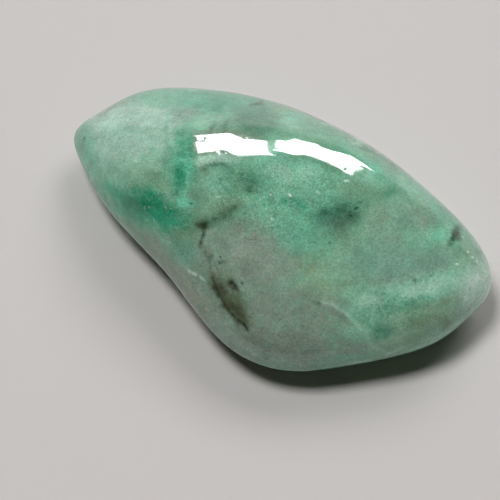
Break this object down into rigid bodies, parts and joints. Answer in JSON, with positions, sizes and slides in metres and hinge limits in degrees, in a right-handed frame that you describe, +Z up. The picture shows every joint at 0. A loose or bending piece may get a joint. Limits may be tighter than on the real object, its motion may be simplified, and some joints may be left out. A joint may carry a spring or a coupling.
{
  "type": "emerald in matrix",
  "caption": "Tumbled gemstone pebble of green emerald in pale quartz matrix, elongated and rounded, resting on a flat worn into its belly.",
  "frame": {"origin": "on the resting surface, under the middle of the stone's bounding box", "axes": "+X along the stone's length towards its blunt thick end, +Z up from the resting surface"},
  "size_m": [0.0312, 0.0194, 0.0098],
  "materials": {
    "emerald_in_matrix": "tumble-polished, cloudy green emerald with grey-white quartz and feldspar matrix and thin brown veins"
  },
  "bodies": {
    "root": {"stone": "emerald_in_matrix"}
  },
  "joints": []
}
